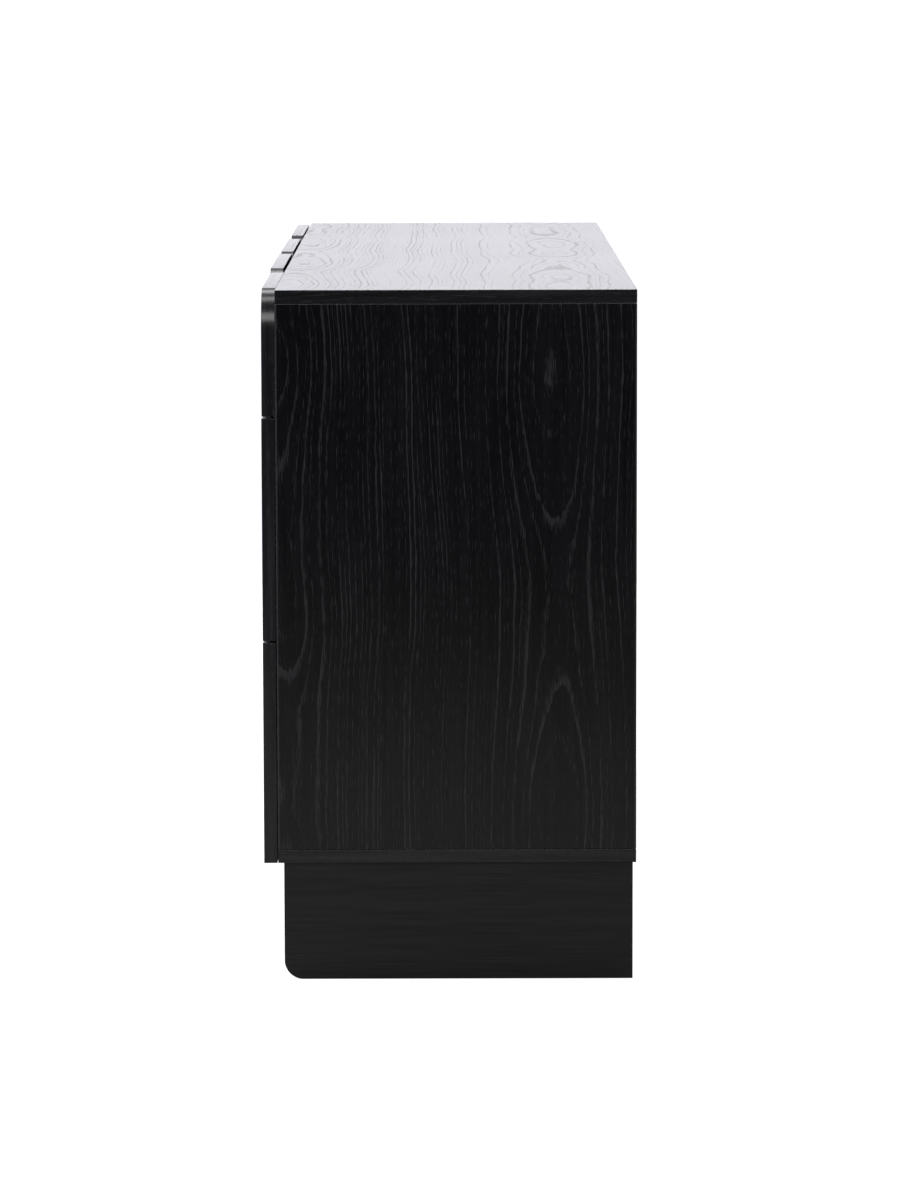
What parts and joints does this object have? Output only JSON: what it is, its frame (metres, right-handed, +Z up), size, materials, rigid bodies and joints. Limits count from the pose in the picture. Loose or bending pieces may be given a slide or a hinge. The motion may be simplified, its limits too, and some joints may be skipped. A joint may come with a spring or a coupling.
{
  "type": "dresser with drawers",
  "caption": "Long low dresser with handle-less drawers: a row of small ones with rounded top corners over rows of wide ones, in near-black oak veneer on slab legs.",
  "frame": {"origin": "on the floor, under the middle of the object's box", "axes": "+X along the length, to the right as its front is faced; the front faces -Y; +Z up"},
  "size_m": [1.65, 0.45, 0.83],
  "materials": {
    "black_oak": "near-black stained oak veneer, satin lacquer, open pores",
    "birch_ply": "clear-lacquered birch plywood, satin",
    "back_board": "dark painted hardboard, matt",
    "zinc_steel": "bright zinc-plated rolled steel"
  },
  "bodies": {
    "case": {"top_panel": "black_oak", "bottom_panel": "black_oak", "side_panel_left": "black_oak", "side_panel_right": "black_oak", "centre_partition": "black_oak", "shelf_left": "black_oak", "shelf_right": "black_oak", "upper_divider_left": "black_oak", "upper_divider_right": "black_oak", "back_panel_left": "back_board", "back_panel_right": "back_board", "leg_left": "black_oak", "leg_centre": "black_oak", "leg_right": "black_oak", "base_rail_front_left": "black_oak", "base_rail_front_right": "black_oak", "base_rail_rear_left": "black_oak", "base_rail_rear_right": "black_oak", "drawer_top_1_rail_left": "zinc_steel", "drawer_top_1_rail_right": "zinc_steel", "drawer_top_2_rail_left": "zinc_steel", "drawer_top_2_rail_right": "zinc_steel", "drawer_top_3_rail_left": "zinc_steel", "drawer_top_3_rail_right": "zinc_steel", "drawer_top_4_rail_left": "zinc_steel", "drawer_top_4_rail_right": "zinc_steel", "drawer_middle_left_rail_left": "zinc_steel", "drawer_middle_left_rail_right": "zinc_steel", "drawer_middle_right_rail_left": "zinc_steel", "drawer_middle_right_rail_right": "zinc_steel", "drawer_lower_left_rail_left": "zinc_steel", "drawer_lower_left_rail_right": "zinc_steel", "drawer_lower_right_rail_left": "zinc_steel", "drawer_lower_right_rail_right": "zinc_steel"},
    "drawer_top_1": {"drawer_top_1_front": "black_oak", "drawer_top_1_box": "birch_ply", "drawer_top_1_floor": "birch_ply"},
    "drawer_top_2": {"drawer_top_2_front": "black_oak", "drawer_top_2_box": "birch_ply", "drawer_top_2_floor": "birch_ply"},
    "drawer_top_3": {"drawer_top_3_front": "black_oak", "drawer_top_3_box": "birch_ply", "drawer_top_3_floor": "birch_ply"},
    "drawer_top_4": {"drawer_top_4_front": "black_oak", "drawer_top_4_box": "birch_ply", "drawer_top_4_floor": "birch_ply"},
    "drawer_middle_left": {"drawer_middle_left_front": "black_oak", "drawer_middle_left_box": "birch_ply", "drawer_middle_left_floor": "birch_ply"},
    "drawer_middle_right": {"drawer_middle_right_front": "black_oak", "drawer_middle_right_box": "birch_ply", "drawer_middle_right_floor": "birch_ply"},
    "drawer_lower_left": {"drawer_lower_left_front": "black_oak", "drawer_lower_left_box": "birch_ply", "drawer_lower_left_floor": "birch_ply"},
    "drawer_lower_right": {"drawer_lower_right_front": "black_oak", "drawer_lower_right_box": "birch_ply", "drawer_lower_right_floor": "birch_ply"}
  },
  "joints": [
    {"name": "drawer_top_1_slide", "type": "slide", "parent": "case", "child": "drawer_top_1", "axis": [0, -1, 0], "range_m": [-0.0021, 0.26]},
    {"name": "drawer_top_2_slide", "type": "slide", "parent": "case", "child": "drawer_top_2", "axis": [0, -1, 0], "range_m": [-0.0031, 0.26]},
    {"name": "drawer_top_3_slide", "type": "slide", "parent": "case", "child": "drawer_top_3", "axis": [0, -1, 0], "range_m": [-0.0037, 0.26]},
    {"name": "drawer_top_4_slide", "type": "slide", "parent": "case", "child": "drawer_top_4", "axis": [0, -1, 0], "range_m": [0, 0.26]},
    {"name": "drawer_middle_left_slide", "type": "slide", "parent": "case", "child": "drawer_middle_left", "axis": [0, -1, 0], "range_m": [-0.0009, 0.26]},
    {"name": "drawer_middle_right_slide", "type": "slide", "parent": "case", "child": "drawer_middle_right", "axis": [0, -1, 0], "range_m": [-0.0005, 0.26]},
    {"name": "drawer_lower_left_slide", "type": "slide", "parent": "case", "child": "drawer_lower_left", "axis": [0, -1, 0], "range_m": [-0.0009, 0.26]},
    {"name": "drawer_lower_right_slide", "type": "slide", "parent": "case", "child": "drawer_lower_right", "axis": [0, -1, 0], "range_m": [-0.0005, 0.26]}
  ]
}
